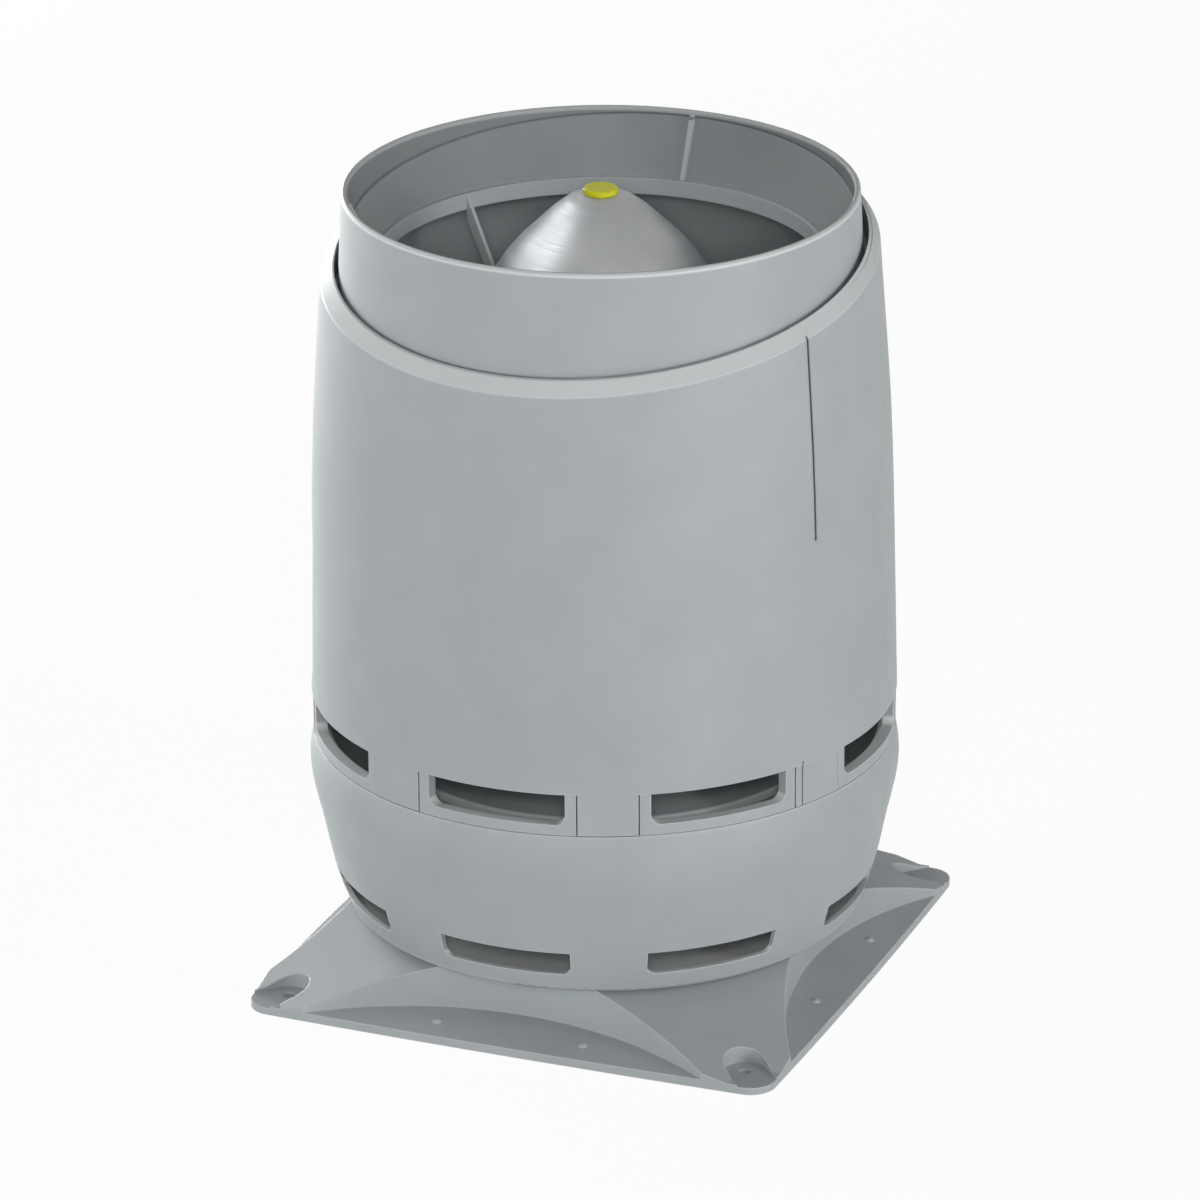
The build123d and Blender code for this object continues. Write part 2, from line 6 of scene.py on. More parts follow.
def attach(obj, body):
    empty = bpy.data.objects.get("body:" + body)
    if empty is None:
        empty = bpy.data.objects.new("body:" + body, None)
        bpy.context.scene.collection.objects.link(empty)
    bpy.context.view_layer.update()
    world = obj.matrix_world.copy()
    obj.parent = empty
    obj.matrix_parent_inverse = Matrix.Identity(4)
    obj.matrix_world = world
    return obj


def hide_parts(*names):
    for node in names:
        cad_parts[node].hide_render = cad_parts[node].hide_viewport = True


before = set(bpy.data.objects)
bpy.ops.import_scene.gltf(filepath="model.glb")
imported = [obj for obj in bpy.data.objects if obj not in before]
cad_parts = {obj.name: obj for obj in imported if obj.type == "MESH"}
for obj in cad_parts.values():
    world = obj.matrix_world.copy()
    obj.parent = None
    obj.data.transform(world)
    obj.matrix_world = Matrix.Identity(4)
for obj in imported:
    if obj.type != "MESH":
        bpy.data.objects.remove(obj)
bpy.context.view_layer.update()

MM = 0.001

# Camera, solved from the vent's circles and the plate's outline.
CAMERA_AZIMUTH = 21.98     # degrees from -Y towards +X
CAMERA_DISTANCE = 3.7785   # level distance from the vent's axis, m
CAMERA_HEIGHT = 1.7434     # above the plate's underside, m
CAMERA_PITCH = 22.18       # degrees downwards
CAMERA_ROLL = -0.413       # degrees
CAMERA_LENS = 227.65       # mm on a 36 mm sensor
CAMERA_SHIFT = -0.0031

# The vent's colours.
SHELL_GREY = "#A2A8AA"
PLATE_GREY = "#A5ABAD"
INNER_GREY = "#8E9496"
CARRIER_GREY = "#D2D6D8"
PIPE_GREY = "#767C7E"
# Greys for painted light and painted shade: the first pales up-facing faces, edges and rims as a painted
# highlight; the second darkens seams and lines as painted shade.
PAINTED_LIGHT_GREY = "#DADDDE"
PAINTED_SHADE_GREY = "#6E7476"
CONE_SILVER = "#BDBFC1"
CONE_SHADE = "#A6A9AB"
CAP_YELLOW = "#FBFA24"
CAP_SPECK = "#8C8C28"
SEAL_BLACK = "#1F2021"
SEAL_TALC = "#55575A"
STEEL_GREY = "#B8B9BA"
STEEL_SHADE = "#9B9C9D"
FLOOR_WHITE = "#F4F5F5"
WHITE = "#FFFFFF"

# Sizes that the finer pieces share with the shells, mm.
RIM_TOP = 437.8
SHOULDER = 405.9           # height of the oblique shoulder on the axis
SHOULDER_TILT = 0.1729     # its rise per mm towards +Y
LIP_IN = 141.2             # the hood's lip round the collar
LIP_DROP = 16.0
COLLAR_TAPER = 0.046       # the collar widens by this much per mm downwards
COLLAR_SCREW_RING = 135.3  # radius at which the collar screws' heads seat
RIB_HALF = 1.36            # half an upright rib's thickness, with a little to spare
RIB_REACH = 133.3          # the ribs' paled faces, a painted highlight, lie inside this radius
INNER_WALL = 134.8         # the collar's inner wall lies inside this radius
GROOVE_AZIMUTH = 67.5
GROOVE_DROP = 11.5         # upper end of the groove, below the shoulder's height on the axis
GROOVE_LENGTH = 114.5
GROOVE_TOP = SHOULDER - GROOVE_DROP
GROOVE_FOOT = GROOVE_TOP - GROOVE_LENGTH
FUNNEL_LINE = 419.5        # height of the oblique funnel's line on the axis
FUNNEL_TILT = 0.112
SKIRT_RIM = 123.0
CAP_R = 9.3
CAP_HEIGHT = 3.2
CAP_FOOT = RIM_TOP - CAP_HEIGHT
BOLT_HEAD_R = 5.5
BOLT_HEAD_H = 2.0
CONE_RIM_R = 79.5
CONE_TOP_R = 9.6
CONE_BORE_R = 2.8
CONE_HEIGHT = 91.6
CONE_FOOT = CAP_FOOT - CONE_HEIGHT
CONE_SKIN = 2.0
SEAL_IN = 80.3
SEAL_OUT = 87.5
SEAL_FOOT = 50.0
SEAL_HEIGHT = 15.5
SEAL_BAND = 83.7           # outer radius of the band below the lip
SEAL_NOSE = 81.8           # outer radius at the lip's top
LIP_EDGE_LOW = 12.0        # the lip's thick outer edge, above the seal's foot
LIP_EDGE_HIGH = 14.0

# Noise lies mostly between these two values.
NOISE_SPAN = (0.3, 0.7)

# Painted highlights on the edges and painted shade in the seams of the moulded shells.
EDGE_FLAT = 0.9985         # cosine of the turn at which an edge's painted highlight starts to show
EDGE_SHARP = 0.95          # and at which it shows in full
CREVICE = 3.5              # how far a seam looks for a facing wall, mm
SEAM_PAINTED_SHADE = 0.15           # share of painted shade in the deepest seams

CREASE_ANGLE = 35          # edges that turn by more stay sharp, degrees
WELD = 0.002               # points closer than this are one, mm

# Studio, m.
FLOOR_REACH = 9.0
FLOOR_HEIGHT = -0.0006     # just under the plate, so that the two don't share a plane
FLOOR_SHADE = 0.045        # share of the floor's real shading that the eye sees
WORLD_GLOSS = 0.6          # brightness of the surround in what mirrors it
LAMP_AIM = 0.22            # height of the vent's middle


# Colours and nodes.
def linear(hex_colour):
    """sRGB hex to linear RGBA."""
    parts = [int(hex_colour[i:i + 2], 16) / 255 for i in (1, 3, 5)]
    return [c / 12.92 if c <= 0.04045 else ((c + 0.055) / 1.055) ** 2.4 for c in parts] + [1.0]


def add(tree, kind, *values, **named):
    """Adds a node and gives its first output in use, or the node where it has none; .node.outputs
    holds the others. Values fill the inputs in use in their order. A named value is the node's
    property of that name, or else its input. A value is a number, a hex colour or a socket."""
    node = tree.nodes.new(kind)
    for name in [name for name in named if hasattr(node, name)]:
        setattr(node, name, named.pop(name))
    in_use = [socket for socket in node.inputs if socket.enabled]
    filled = list(zip(in_use, values))
    filled += [(node.inputs[name.replace("_", " ")], value) for name, value in named.items()]
    for socket, value in filled:
        if isinstance(value, bpy.types.NodeSocket):
            tree.links.new(value, socket)
        else:
            is_colour = isinstance(value, str) and value.startswith("#")
            socket.default_value = linear(value) if is_colour else value
    return next((socket for socket in node.outputs if socket.enabled), node)


def new_material(name):
    """A material without nodes, and its tree."""
    material = bpy.data.materials.new(name)
    material.use_nodes = True
    material.node_tree.nodes.clear()
    return material, material.node_tree


def from_axis(tree, spot):
    """Distance of a place from the vent's axis."""
    level = add(tree, "ShaderNodeCombineXYZ", spot["X"], spot["Y"])
    return add(tree, "ShaderNodeVectorMath", level, operation="LENGTH")


def beside(tree, spot, angle):
    """How far a place lies to one side of the line through the axis at an azimuth; for the azimuth
    less a quarter turn, how far it lies out along that line."""
    east = add(tree, "ShaderNodeMath", spot["X"], cos(angle), operation="MULTIPLY")
    north = add(tree, "ShaderNodeMath", spot["Y"], sin(angle), operation="MULTIPLY")
    return add(tree, "ShaderNodeMath", east, north, operation="ADD")


# Where painted shade and painted highlights lie.
def groove_painted_shade(tree, place):
    """A painted shade line along both sides of the hood's upright groove, which fades out sideways
    from its middle and towards its upper end."""
    full, gone = 0.9 * MM, 1.7 * MM
    foot, clear_foot = GROOVE_FOOT * MM, (GROOVE_FOOT - 1.2) * MM
    head, clear_head = (GROOVE_TOP - 6) * MM, (GROOVE_TOP - 4) * MM
    spot = add(tree, "ShaderNodeSeparateXYZ", place).node.outputs
    aside = beside(tree, spot, radians(GROOVE_AZIMUTH))
    away = add(tree, "ShaderNodeMath", aside, operation="ABSOLUTE")
    near = add(tree, "ShaderNodeMapRange", away, full, gone, 0.75, 0.0)
    low = add(tree, "ShaderNodeMapRange", spot["Z"], clear_foot, foot, 0.0, 1.0)
    high = add(tree, "ShaderNodeMapRange", spot["Z"], head, clear_head, 1.0, 0.0)
    front = add(tree, "ShaderNodeMath", spot["X"], 0.0, operation="GREATER_THAN")
    line = add(tree, "ShaderNodeMath", near, front, operation="MULTIPLY")
    span = add(tree, "ShaderNodeMath", low, high, operation="MULTIPLY")
    return add(tree, "ShaderNodeMath", line, span, operation="MULTIPLY")


def funnel_painted_shadow(tree, place):
    """A painted shadow line where the oblique funnel leaves the collar's inner wall."""
    full, gone = 0.5 * MM, 1.1 * MM
    spot = add(tree, "ShaderNodeSeparateXYZ", place).node.outputs
    slope = add(tree, "ShaderNodeMath", spot["Y"], FUNNEL_TILT, operation="MULTIPLY")
    rise = add(tree, "ShaderNodeMath", spot["Z"], slope, operation="SUBTRACT")
    off = add(tree, "ShaderNodeMath", rise, FUNNEL_LINE * MM, operation="SUBTRACT")
    away = add(tree, "ShaderNodeMath", off, operation="ABSOLUTE")
    mark = add(tree, "ShaderNodeMapRange", away, full, gone, 0.8, 0.0)
    inside = add(tree, "ShaderNodeMath", from_axis(tree, spot), INNER_WALL * MM, operation="LESS_THAN")
    return add(tree, "ShaderNodeMath", mark, inside, operation="MULTIPLY")


def rim_and_rib_painted_highlight(tree, place):
    """Painted highlight on the collar's rim top and on the faces of its three upright ribs."""
    rim_from, rim_full = (RIM_TOP - 2.8) * MM, (RIM_TOP - 1.8) * MM
    spot = add(tree, "ShaderNodeSeparateXYZ", place).node.outputs
    blend_share = add(tree, "ShaderNodeMapRange", spot["Z"], rim_from, rim_full, 0.0, 0.75)
    inside = add(tree, "ShaderNodeMath", from_axis(tree, spot), RIB_REACH * MM, operation="LESS_THAN")
    for azimuth in (60, 180, 300):
        aside = beside(tree, spot, radians(azimuth))
        away = add(tree, "ShaderNodeMath", aside, operation="ABSOLUTE")
        near = add(tree, "ShaderNodeMath", away, RIB_HALF * MM, operation="LESS_THAN")
        out = beside(tree, spot, radians(azimuth - 90))
        ahead = add(tree, "ShaderNodeMath", out, 0.0, operation="GREATER_THAN")
        line = add(tree, "ShaderNodeMath", near, ahead, operation="MULTIPLY")
        rib = add(tree, "ShaderNodeMath", line, inside, operation="MULTIPLY")
        pale = add(tree, "ShaderNodeMath", rib, 0.9, operation="MULTIPLY")
        blend_share = add(tree, "ShaderNodeMath", blend_share, pale, operation="MAXIMUM")
    return blend_share


def skirt_rim_painted_highlight(tree, place):
    """Painted highlight along the skirt's rim."""
    full, gone = (SKIRT_RIM + 4.2) * MM, (SKIRT_RIM + 5.0) * MM
    height = add(tree, "ShaderNodeSeparateXYZ", place).node.outputs["Z"]
    return add(tree, "ShaderNodeMapRange", height, full, gone, 0.85, 0.0)


# Materials.
def moulded(name, colour, roughness, grain_mm, depth_mm, round_mm, edge_highlight_share=0.7, painted_top_light=0.0, painted_shade=None,
            painted_light=None):
    """Injection-moulded polypropylene: faint clouds from the melt's flow and a fine eroded grain that
    keeps the shine soft; a painted highlight pales the outer edges and painted shade darkens the seams.
    A painted top light pales the faces that look up; the masks given add painted shade and highlights."""
    material, tree = new_material(name)
    place = add(tree, "ShaderNodeTexCoord").node.outputs["Object"]
    cloud = add(tree, "ShaderNodeTexNoise", place, Scale=1 / (45 * MM), Detail=3.0, Roughness=0.55)
    tone = add(tree, "ShaderNodeMapRange", cloud, *NOISE_SPAN, 0.96, 1.04)
    skin = add(tree, "ShaderNodeVectorMath", linear(colour)[:3], tone, operation="SCALE")

    own = add(tree, "ShaderNodeNewGeometry").node.outputs["Normal"]
    # Painted top light: the faces that look up are paled.
    upward = add(tree, "ShaderNodeSeparateXYZ", own).node.outputs["Z"]
    painted_top_light_share = add(tree, "ShaderNodeMapRange", upward, 0.25, 0.5, 0.0, painted_top_light)
    skin = add(tree, "ShaderNodeMix", painted_top_light_share, skin, PAINTED_LIGHT_GREY, data_type="RGBA")
    # Painted highlight, where the given mask lies.
    if painted_light is not None:
        skin = add(tree, "ShaderNodeMix", painted_light(tree, place), skin, PAINTED_LIGHT_GREY, data_type="RGBA")
    # Painted shade, where the given mask lies.
    if painted_shade is not None:
        skin = add(tree, "ShaderNodeMix", painted_shade(tree, place), skin, PAINTED_SHADE_GREY, data_type="RGBA")

    # Painted highlight along outer edges: paled where the rounded normal turns from the face's own, and kept
    # off concave corners by the occlusion.
    rounded = add(tree, "ShaderNodeBevel", samples=6, Radius=round_mm * MM)
    turn = add(tree, "ShaderNodeVectorMath", rounded, own, operation="DOT_PRODUCT")
    bent = add(tree, "ShaderNodeMapRange", turn, EDGE_FLAT, EDGE_SHARP, 0.0, 1.0)
    room = add(tree, "ShaderNodeAmbientOcclusion", samples=6, Distance=CREVICE * MM).node.outputs["AO"]
    proud = add(tree, "ShaderNodeMapRange", room, 0.5, 0.8, 0.0, edge_highlight_share)
    edge = add(tree, "ShaderNodeMath", bent, proud, operation="MULTIPLY")
    skin = add(tree, "ShaderNodeMix", edge, skin, PAINTED_LIGHT_GREY, data_type="RGBA")
    # Painted shade in the seams, darkest where the occlusion is deepest.
    seam = add(tree, "ShaderNodeMapRange", room, 0.4, 0.1, 0.0, SEAM_PAINTED_SHADE)
    skin = add(tree, "ShaderNodeMix", seam, skin, PAINTED_SHADE_GREY, data_type="RGBA")

    grain = add(tree, "ShaderNodeTexNoise", place, Scale=1 / (grain_mm * MM), Roughness=0.6)
    bump = add(tree, "ShaderNodeBump", Strength=0.35, Distance=depth_mm * MM, Height=grain, Normal=rounded)
    blend_share = add(tree, "ShaderNodeTexNoise", place, Scale=1 / (18 * MM))
    rough = add(tree, "ShaderNodeMapRange", blend_share, *NOISE_SPAN, roughness - 0.04, roughness + 0.04)
    shader = add(tree, "ShaderNodeBsdfPrincipled", Base_Color=skin, Roughness=rough, IOR=1.49, Normal=bump)
    add(tree, "ShaderNodeOutputMaterial", shader)
    return material


def extruded(name):
    """Extruded polypropylene pipe: smooth, with die lines that run along the pipe."""
    material, tree = new_material(name)
    place = add(tree, "ShaderNodeTexCoord").node.outputs["Object"]
    along = add(tree, "ShaderNodeMapping", place, Scale=(1, 1, 0.02))
    line = add(tree, "ShaderNodeTexNoise", along, Scale=1 / (1.6 * MM), Roughness=0.6)
    cloud = add(tree, "ShaderNodeTexNoise", place, Scale=1 / (60 * MM), Detail=3.0)
    share = add(tree, "ShaderNodeMapRange", cloud, *NOISE_SPAN, 0.0, 1.0)
    skin = add(tree, "ShaderNodeMix", share, PIPE_GREY, INNER_GREY, data_type="RGBA")
    rough = add(tree, "ShaderNodeMapRange", line, *NOISE_SPAN, 0.36, 0.5)
    bump = add(tree, "ShaderNodeBump", Strength=0.3, Distance=0.04 * MM, Height=line)
    shader = add(tree, "ShaderNodeBsdfPrincipled", Base_Color=skin, Roughness=rough, IOR=1.49, Normal=bump)
    add(tree, "ShaderNodeOutputMaterial", shader)
    return material


def spun_aluminium(name):
    """Spun aluminium, satin anodised: a broad soft shine, fine turning lines round the axis and
    slightly duller clouds from handling."""
    material, tree = new_material(name)
    place = add(tree, "ShaderNodeTexCoord").node.outputs["Object"]
    height = add(tree, "ShaderNodeSeparateXYZ", place).node.outputs["Z"]
    line = add(tree, "ShaderNodeTexNoise", noise_dimensions="1D", W=height, Scale=1 / (0.9 * MM), Detail=3.0)
    cloud = add(tree, "ShaderNodeTexNoise", place, Scale=1 / (28 * MM))
    share = add(tree, "ShaderNodeMapRange", cloud, *NOISE_SPAN, 0.0, 0.5)
    skin = add(tree, "ShaderNodeMix", share, CONE_SILVER, CONE_SHADE, data_type="RGBA")
    rough = add(tree, "ShaderNodeMapRange", line, *NOISE_SPAN, 0.38, 0.48)
    bump = add(tree, "ShaderNodeBump", Strength=0.1, Distance=0.03 * MM, Height=line)
    shader = add(tree, "ShaderNodeBsdfPrincipled", Base_Color=skin, Metallic=1.0, Roughness=rough,
                 Normal=bump)
    add(tree, "ShaderNodeOutputMaterial", shader)
    return material


def cap_plastic(name):
    """Moulded ABS with a satin gloss; small dark specks of dust sit on it."""
    material, tree = new_material(name)
    place = add(tree, "ShaderNodeTexCoord").node.outputs["Object"]
    dust = add(tree, "ShaderNodeTexNoise", place, Scale=1 / (2.2 * MM))
    speck = add(tree, "ShaderNodeMapRange", dust, 0.58, 0.72, 0.0, 0.5)
    skin = add(tree, "ShaderNodeMix", speck, CAP_YELLOW, CAP_SPECK, data_type="RGBA")
    shader = add(tree, "ShaderNodeBsdfPrincipled", Base_Color=skin, Roughness=0.4, IOR=1.53)
    add(tree, "ShaderNodeOutputMaterial", shader)
    return material


def seal_rubber(name):
    """Moulded EPDM rubber: near black, dull, with a dusting of talc."""
    material, tree = new_material(name)
    place = add(tree, "ShaderNodeTexCoord").node.outputs["Object"]
    talc = add(tree, "ShaderNodeTexNoise", place, Scale=1 / (6 * MM), Detail=4.0)
    share = add(tree, "ShaderNodeMapRange", talc, 0.45, 0.75, 0.0, 0.35)
    skin = add(tree, "ShaderNodeMix", share, SEAL_BLACK, SEAL_TALC, data_type="RGBA")
    rough = add(tree, "ShaderNodeMapRange", talc, *NOISE_SPAN, 0.6, 0.85)
    shader = add(tree, "ShaderNodeBsdfPrincipled", Base_Color=skin, Roughness=rough, IOR=1.52)
    add(tree, "ShaderNodeOutputMaterial", shader)
    return material


def cold_headed_steel(name):
    """Cold-headed stainless steel: bright, its gloss broken by small soft scratches from the driver."""
    material, tree = new_material(name)
    place = add(tree, "ShaderNodeTexCoord").node.outputs["Object"]
    cloud = add(tree, "ShaderNodeTexNoise", place, Scale=1 / (5 * MM))
    share = add(tree, "ShaderNodeMapRange", cloud, *NOISE_SPAN, 0.0, 0.4)
    skin = add(tree, "ShaderNodeMix", share, STEEL_GREY, STEEL_SHADE, data_type="RGBA")
    scratch = add(tree, "ShaderNodeTexNoise", place, Scale=1 / (0.8 * MM), Detail=3.0)
    rough = add(tree, "ShaderNodeMapRange", scratch, *NOISE_SPAN, 0.24, 0.42)
    shader = add(tree, "ShaderNodeBsdfPrincipled", Base_Color=skin, Metallic=1.0, Roughness=rough)
    add(tree, "ShaderNodeOutputMaterial", shader)
    return material


# These shells carry painted light and painted shade: paled up-facing faces and edges, paled collar rim, ribs
# and skirt rim, and darkened seams, groove and funnel line.
shell = moulded("moulded_polypropylene_shell", SHELL_GREY, roughness=0.52, grain_mm=0.7, depth_mm=0.04,
                round_mm=0.7, edge_highlight_share=0.9, painted_top_light=0.95)
hood = moulded("moulded_polypropylene_hood", SHELL_GREY, roughness=0.52, grain_mm=0.7, depth_mm=0.04,
               round_mm=0.7, painted_top_light=0.75, painted_shade=groove_painted_shade)
collar = moulded("moulded_polypropylene_collar", SHELL_GREY, roughness=0.52, grain_mm=0.7, depth_mm=0.04,
                 round_mm=1.0, edge_highlight_share=0.85, painted_shade=funnel_painted_shadow, painted_light=rim_and_rib_painted_highlight)
plate = moulded("moulded_polypropylene_plate", PLATE_GREY, roughness=0.55, grain_mm=0.7, depth_mm=0.05,
                round_mm=1.0, edge_highlight_share=0.5)
inner = moulded("moulded_polypropylene_inner", INNER_GREY, roughness=0.58, grain_mm=0.8, depth_mm=0.05,
                round_mm=0.6, painted_light=skirt_rim_painted_highlight)
carrier = moulded("moulded_polypropylene_carrier", CARRIER_GREY, roughness=0.5, grain_mm=0.6, depth_mm=0.03,
                  round_mm=0.9, edge_highlight_share=0.9, painted_top_light=0.9)
pipe = extruded("extruded_polypropylene_pipe")
silver = spun_aluminium("spun_anodised_aluminium")
yellow = cap_plastic("moulded_abs_cap")
rubber = seal_rubber("moulded_epdm_rubber")
steel = cold_headed_steel("cold_headed_stainless_steel")

FINISHES = {
    "base_plate": plate, "exhaust_pipe": pipe, "pipe_seal": rubber, "drip_skirt": inner,
    "lower_bowl": shell, "window_ring": shell, "upper_hood": hood, "outlet_collar": collar,
    "cone_carrier": carrier, "rain_cone": silver, "cone_bolt": steel, "cone_cap": yellow,
    "skirt_screws": steel, "bowl_screws": steel, "collar_screws": steel, "carrier_screws": steel,
}
for node_name, finish in FINISHES.items():
    for material_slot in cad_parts[node_name].material_slots:
        material_slot.material = finish


# Pieces that Geometry Nodes turn or repeat.
def new_tree(name, sizes):
    """A Geometry Nodes tree with one named input for each size and one for the material."""
    tree = bpy.data.node_groups.new(name, "GeometryNodeTree")
    tree.interface.new_socket("Geometry", in_out="OUTPUT", socket_type="NodeSocketGeometry")
    for label, value in sizes.items():
        kind = "NodeSocketInt" if isinstance(value, int) else "NodeSocketFloat"
        tree.interface.new_socket(label, in_out="INPUT", socket_type=kind)
    tree.interface.new_socket("Material", in_out="INPUT", socket_type="NodeSocketMaterial")
    return tree, add(tree, "NodeGroupInput").node.outputs


def follow(tree, along, points):
    """The value at a share along a line of straight stretches; shares and values run from 0 to 1."""
    value = add(tree, "ShaderNodeFloatCurve", Value=along)
    curve = value.node.mapping.curves[0]
    while len(curve.points) < len(points):
        curve.points.new(0.5, 0.5)
    for spot, place in zip(curve.points, points):
        spot.location = place
        spot.handle_type = "VECTOR"
    value.node.mapping.update()
    return value


def sheet_to_wrap(tree, turns, rows):
    """A sheet to wrap round an axis, with its share of the turn and its share along."""
    sheet = add(tree, "GeometryNodeMeshGrid", 1.0, 1.0, turns, rows)
    place = add(tree, "GeometryNodeInputPosition")
    spot = add(tree, "ShaderNodeSeparateXYZ", place).node.outputs
    turn = add(tree, "ShaderNodeMath", spot["X"], 0.5, operation="ADD")
    along = add(tree, "ShaderNodeMath", spot["Y"], 0.5, operation="ADD")
    return sheet, turn, along


def wrap(tree, sheet, turn, radius, height):
    """Lays the sheet round the Z axis and welds its seam and its poles."""
    angle = add(tree, "ShaderNodeMath", turn, -2 * pi, operation="MULTIPLY")
    east = add(tree, "ShaderNodeMath", angle, operation="COSINE")
    north = add(tree, "ShaderNodeMath", angle, operation="SINE")
    place = add(tree, "ShaderNodeCombineXYZ",
                add(tree, "ShaderNodeMath", radius, east, operation="MULTIPLY"),
                add(tree, "ShaderNodeMath", radius, north, operation="MULTIPLY"), height)
    moved = add(tree, "GeometryNodeSetPosition", sheet, Position=place)
    return add(tree, "GeometryNodeMergeByDistance", moved, Distance=WELD * MM)


def finish_tree(tree, geometry, material):
    """Smooth faces with creased edges, real geometry and the material."""
    bend = add(tree, "GeometryNodeInputMeshEdgeAngle")
    soft = add(tree, "FunctionNodeCompare", bend, radians(CREASE_ANGLE), operation="LESS_THAN")
    faces = add(tree, "GeometryNodeSetShadeSmooth", geometry, domain="FACE", Shade_Smooth=True)
    edges = add(tree, "GeometryNodeSetShadeSmooth", faces, domain="EDGE", Shade_Smooth=soft)
    real = add(tree, "GeometryNodeRealizeInstances", edges)
    dressed = add(tree, "GeometryNodeSetMaterial", real, Material=material)
    add(tree, "NodeGroupOutput", dressed)


def make_piece(name, tree, sizes, material, node):
    """Runs the tree, keeps its result as a plain mesh and lets it stand for the CAD node."""
    holder = bpy.data.objects.new(name + "_maker", bpy.data.meshes.new(name + "_maker"))
    bpy.context.collection.objects.link(holder)
    maker = holder.modifiers.new("maker", "NODES")
    maker.node_group = tree
    for item in tree.interface.items_tree:
        if item.in_out == "INPUT":
            maker[item.identifier] = material if item.name == "Material" else sizes[item.name]
    bpy.context.view_layer.update()
    made = holder.evaluated_get(bpy.context.evaluated_depsgraph_get())
    mesh = bpy.data.meshes.new_from_object(made)
    holder.modifiers.remove(maker)
    bpy.data.objects.remove(holder)
    mesh.name = name
    piece = bpy.data.objects.new(name, mesh)
    bpy.context.collection.objects.link(piece)
    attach(piece, "root")
    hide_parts(node)


def screw_tree():
    """Cross-slot pan-head screws on a circle. Lean turns the heads from upright to the side, and Tilt
    lifts the circle towards +Y; the slots point every way, as a hand leaves them."""
    sizes = {"Count": 1, "Ring Radius": 0.0, "First Angle": 0.0, "Height": 0.0, "Tilt": 0.0, "Taper": 0.0,
             "Lean": 0.0, "Head Radius": 0.0, "Head Height": 0.0, "Shank Radius": 0.0, "Length": 0.0,
             "Pitch": 0.0, "Seed": 1}
    tree, given = new_tree("screw_ring", sizes)
    sheet, turn, along = sheet_to_wrap(tree, 25, 61)

    # The head takes the first fifth of the sheet, the threaded shank the rest.
    neck = 0.2
    head_r = follow(tree, along, ((0.0, 0.0), (0.05, 0.5), (0.1, 0.88), (0.15, 1.0), (neck, 1.0),
                                  (1.0, 1.0)))
    head_z = follow(tree, along, ((0.0, 1.0), (0.05, 0.97), (0.1, 0.8), (0.15, 0.35), (neck, 0.0),
                                  (1.0, 0.0)))
    down = add(tree, "ShaderNodeMapRange", along, neck + 0.017, 1.0, 0.0, 1.0)
    depth = add(tree, "ShaderNodeMath", down, given["Length"], operation="MULTIPLY")
    turns_down = add(tree, "ShaderNodeMath", depth, given["Pitch"], operation="DIVIDE")
    ridge = add(tree, "ShaderNodeMath", turns_down, turn, operation="ADD")
    wave = add(tree, "ShaderNodeMath", ridge, 0.5, operation="PINGPONG")
    groove = add(tree, "ShaderNodeMath", wave, 0.34, operation="MULTIPLY")
    thread = add(tree, "ShaderNodeMath", 1.0, groove, operation="SUBTRACT")
    point = add(tree, "ShaderNodeMapRange", down, 0.86, 1.0, 1.0, 0.0)
    body_r = add(tree, "ShaderNodeMath", thread, point, operation="MULTIPLY")
    on_shank = add(tree, "ShaderNodeMath", along, neck + 0.001, operation="GREATER_THAN")
    radius = add(tree, "ShaderNodeMix", on_shank,
                 add(tree, "ShaderNodeMath", head_r, given["Head Radius"], operation="MULTIPLY"),
                 add(tree, "ShaderNodeMath", body_r, given["Shank Radius"], operation="MULTIPLY"))
    head_rise = add(tree, "ShaderNodeMath", head_z, given["Head Height"], operation="MULTIPLY")
    rise = add(tree, "ShaderNodeMath", head_rise, depth, operation="SUBTRACT")
    body = wrap(tree, sheet, turn, radius, rise)

    # The cross slot: two boxes that cut into the head from its top.
    reach = add(tree, "ShaderNodeMath", given["Head Radius"], 1.15, operation="MULTIPLY")
    width = add(tree, "ShaderNodeMath", given["Head Radius"], 0.2, operation="MULTIPLY")
    tall = add(tree, "ShaderNodeMath", given["Head Height"], 1.3, operation="MULTIPLY")
    cross = add(tree, "GeometryNodeMeshBoolean", operation="UNION", solver="EXACT")
    for across, deep in ((reach, width), (width, reach)):
        box = add(tree, "GeometryNodeMeshCube", add(tree, "ShaderNodeCombineXYZ", across, deep, tall))
        tree.links.new(box, cross.node.inputs["Mesh 2"])
    lift = add(tree, "ShaderNodeCombineXYZ", Z=given["Head Height"])
    raised = add(tree, "GeometryNodeTransform", cross, Translation=lift)
    screw = add(tree, "GeometryNodeMeshBoolean", operation="DIFFERENCE", solver="EXACT", Mesh_1=body,
                Mesh_2=raised)

    # The seats: a circle, tilted towards +Y and narrower where it rises, as the collar's wall is.
    circle = add(tree, "GeometryNodeMeshCircle", Vertices=given["Count"], Radius=given["Ring Radius"])
    facing = add(tree, "ShaderNodeCombineXYZ", Z=given["First Angle"])
    ring = add(tree, "GeometryNodeTransform", circle, Rotation=facing)
    spot = add(tree, "ShaderNodeSeparateXYZ", add(tree, "GeometryNodeInputPosition")).node.outputs
    slope = add(tree, "ShaderNodeMath", spot["Y"], given["Tilt"], operation="MULTIPLY")
    level = add(tree, "ShaderNodeMath", slope, given["Height"], operation="ADD")
    narrowing = add(tree, "ShaderNodeMath", slope, given["Taper"], operation="MULTIPLY")
    shrink = add(tree, "ShaderNodeMath", 1.0, narrowing, operation="SUBTRACT")
    place = add(tree, "ShaderNodeCombineXYZ",
                add(tree, "ShaderNodeMath", spot["X"], shrink, operation="MULTIPLY"),
                add(tree, "ShaderNodeMath", spot["Y"], shrink, operation="MULTIPLY"), level)
    seats = add(tree, "GeometryNodeSetPosition", ring, Position=place)

